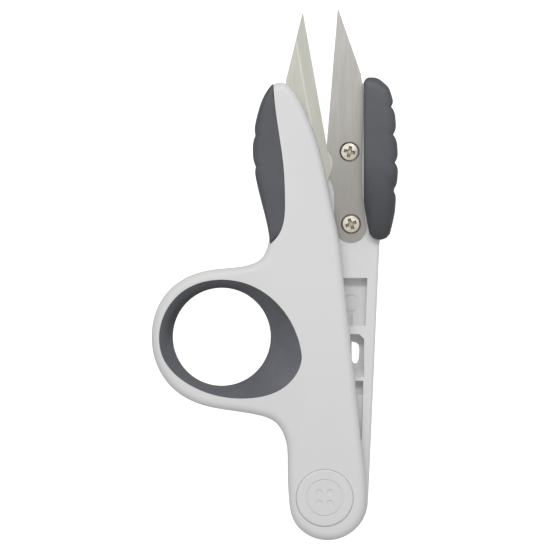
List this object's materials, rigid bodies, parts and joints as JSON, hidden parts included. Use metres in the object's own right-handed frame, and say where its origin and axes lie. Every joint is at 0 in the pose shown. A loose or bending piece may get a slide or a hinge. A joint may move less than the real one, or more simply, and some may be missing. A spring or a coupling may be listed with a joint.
{
  "type": "thread snips",
  "caption": "Thread snips with a finger ring: levers that turn on a sprung end pivot, each with a pointed blade, and soft grip pads.",
  "frame": {"origin": "the pivot axis where it meets the plane that the back rests on", "axes": "+Z along the pivot axis, out of the front face; +Y towards the blade tips; +X to the right in the front view, away from the finger ring"},
  "size_m": [0.0559, 0.1203, 0.0126],
  "materials": {
    "lever_plastic": "satin moulded white plastic",
    "grip_rubber": "soft dark grey thermoplastic rubber",
    "blade_steel": "finely ground stainless steel",
    "screw_nickel": "nickel plated",
    "pivot_steel": "turned steel",
    "washer_nylon": "natural nylon",
    "spring_steel": "drawn spring wire"
  },
  "bodies": {
    "rear_half": {"rear_lever": "lever_plastic", "lower_blade": "blade_steel", "lower_blade_tip_screw": "screw_nickel", "lower_blade_root_screw": "screw_nickel", "rear_grip_pad": "grip_rubber", "pivot_sleeve": "pivot_steel", "pivot_screw": "screw_nickel", "screw_washer": "pivot_steel", "spacer_washer": "washer_nylon", "return_spring": "spring_steel"},
    "front_half": {"front_lever": "lever_plastic", "upper_blade": "blade_steel", "upper_blade_tip_screw": "screw_nickel", "upper_blade_root_screw": "screw_nickel", "front_grip_pad": "grip_rubber", "finger_ring_liner": "grip_rubber", "pivot_cap": "lever_plastic"}
  },
  "joints": [
    {"name": "handle_pivot", "type": "hinge", "parent": "rear_half", "child": "front_half", "pos_m": [0, 0, 0.0062], "axis": [0, 0, 1], "range_deg": [-4.8, 0], "stiffness_Nm_per_rad": 1.2, "springref_deg": 9.74, "deforming": ["return_spring"]}
  ]
}
